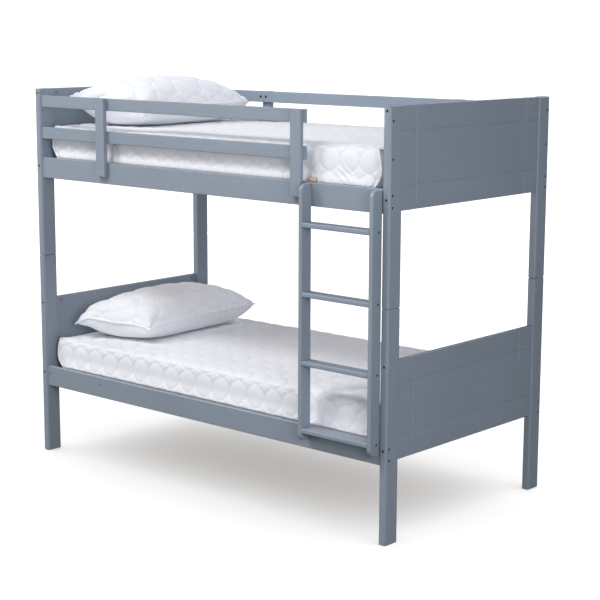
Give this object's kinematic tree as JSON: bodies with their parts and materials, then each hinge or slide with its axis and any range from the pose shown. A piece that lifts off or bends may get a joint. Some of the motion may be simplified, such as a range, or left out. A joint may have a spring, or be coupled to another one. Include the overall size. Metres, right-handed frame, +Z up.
{
  "type": "bunk bed",
  "caption": "Twin-over-twin wooden bunk bed with grooved end panels, guard rails, a straight front ladder, quilted mattresses and pillows.",
  "frame": {"origin": "on the floor, under the middle of the outline that the bed and its ladder cover", "axes": "+X along the bed from the head end (pillows) to the foot end (ladder), +Y from the ladder side to the rear, +Z up"},
  "size_m": [1.999, 1.095, 1.6839],
  "materials": {
    "painted_wood": "satin grey-blue paint over wood",
    "bare_wood": "bare sanded pine",
    "quilted_fabric": "white quilted knit"
  },
  "bodies": {
    "lower_bed": {"lower_post_front_head": "painted_wood", "lower_post_front_foot": "painted_wood", "lower_side_rail_front": "painted_wood", "lower_slat_cleat_front": "bare_wood", "lower_post_rear_head": "painted_wood", "lower_post_rear_foot": "painted_wood", "lower_side_rail_rear": "painted_wood", "lower_slat_cleat_rear": "bare_wood", "lower_end_panel_head": "painted_wood", "lower_end_panel_foot": "painted_wood", "lower_slat_1": "bare_wood", "lower_slat_2": "bare_wood", "lower_slat_3": "bare_wood", "lower_slat_4": "bare_wood", "lower_slat_5": "bare_wood", "lower_slat_6": "bare_wood", "lower_slat_7": "bare_wood", "lower_slat_8": "bare_wood", "lower_slat_9": "bare_wood", "joint_pin_front_head": "bare_wood", "joint_pin_front_foot": "bare_wood", "joint_pin_rear_head": "bare_wood", "joint_pin_rear_foot": "bare_wood"},
    "upper_bed": {"upper_post_front_head": "painted_wood", "upper_post_front_foot": "painted_wood", "upper_side_rail_front": "painted_wood", "upper_slat_cleat_front": "bare_wood", "upper_post_rear_head": "painted_wood", "upper_post_rear_foot": "painted_wood", "upper_side_rail_rear": "painted_wood", "upper_slat_cleat_rear": "bare_wood", "upper_end_panel_head": "painted_wood", "upper_end_panel_foot": "painted_wood", "upper_slat_1": "bare_wood", "upper_slat_2": "bare_wood", "upper_slat_3": "bare_wood", "upper_slat_4": "bare_wood", "upper_slat_5": "bare_wood", "upper_slat_6": "bare_wood", "upper_slat_7": "bare_wood", "upper_slat_8": "bare_wood", "upper_slat_9": "bare_wood", "guard_top_rail_front": "painted_wood", "guard_middle_rail_front": "painted_wood", "guard_stile_front_head": "painted_wood", "guard_stile_front_foot": "painted_wood", "guard_top_rail_rear": "painted_wood", "guard_middle_rail_rear": "painted_wood", "guard_stile_rear_head": "painted_wood", "guard_stile_rear_foot": "painted_wood", "ladder_stile_head": "painted_wood", "ladder_stile_foot": "painted_wood", "ladder_rung_1": "painted_wood", "ladder_rung_2": "painted_wood", "ladder_rung_3": "painted_wood", "ladder_rung_4": "painted_wood"},
    "lower_mattress": {"lower_mattress": "quilted_fabric"},
    "upper_mattress": {"upper_mattress": "quilted_fabric"},
    "lower_pillow": {"lower_pillow": "quilted_fabric"},
    "upper_pillow": {"upper_pillow": "quilted_fabric"}
  },
  "joints": [
    {"name": "upper_bed_lift", "type": "slide", "parent": "lower_bed", "child": "upper_bed", "axis": [0, 0, 1], "range_m": [0, 0.06]},
    {"name": "lower_mattress_lift", "type": "slide", "parent": "lower_bed", "child": "lower_mattress", "axis": [0, 0, 1], "range_m": [0, 0.12]},
    {"name": "lower_pillow_lift", "type": "slide", "parent": "lower_mattress", "child": "lower_pillow", "axis": [0, 0, 1], "range_m": [0, 0.25]},
    {"name": "upper_mattress_lift", "type": "slide", "parent": "upper_bed", "child": "upper_mattress", "axis": [0, 0, 1], "range_m": [0, 0.12]},
    {"name": "upper_pillow_lift", "type": "slide", "parent": "upper_mattress", "child": "upper_pillow", "axis": [0, 0, 1], "range_m": [0, 0.25]}
  ]
}
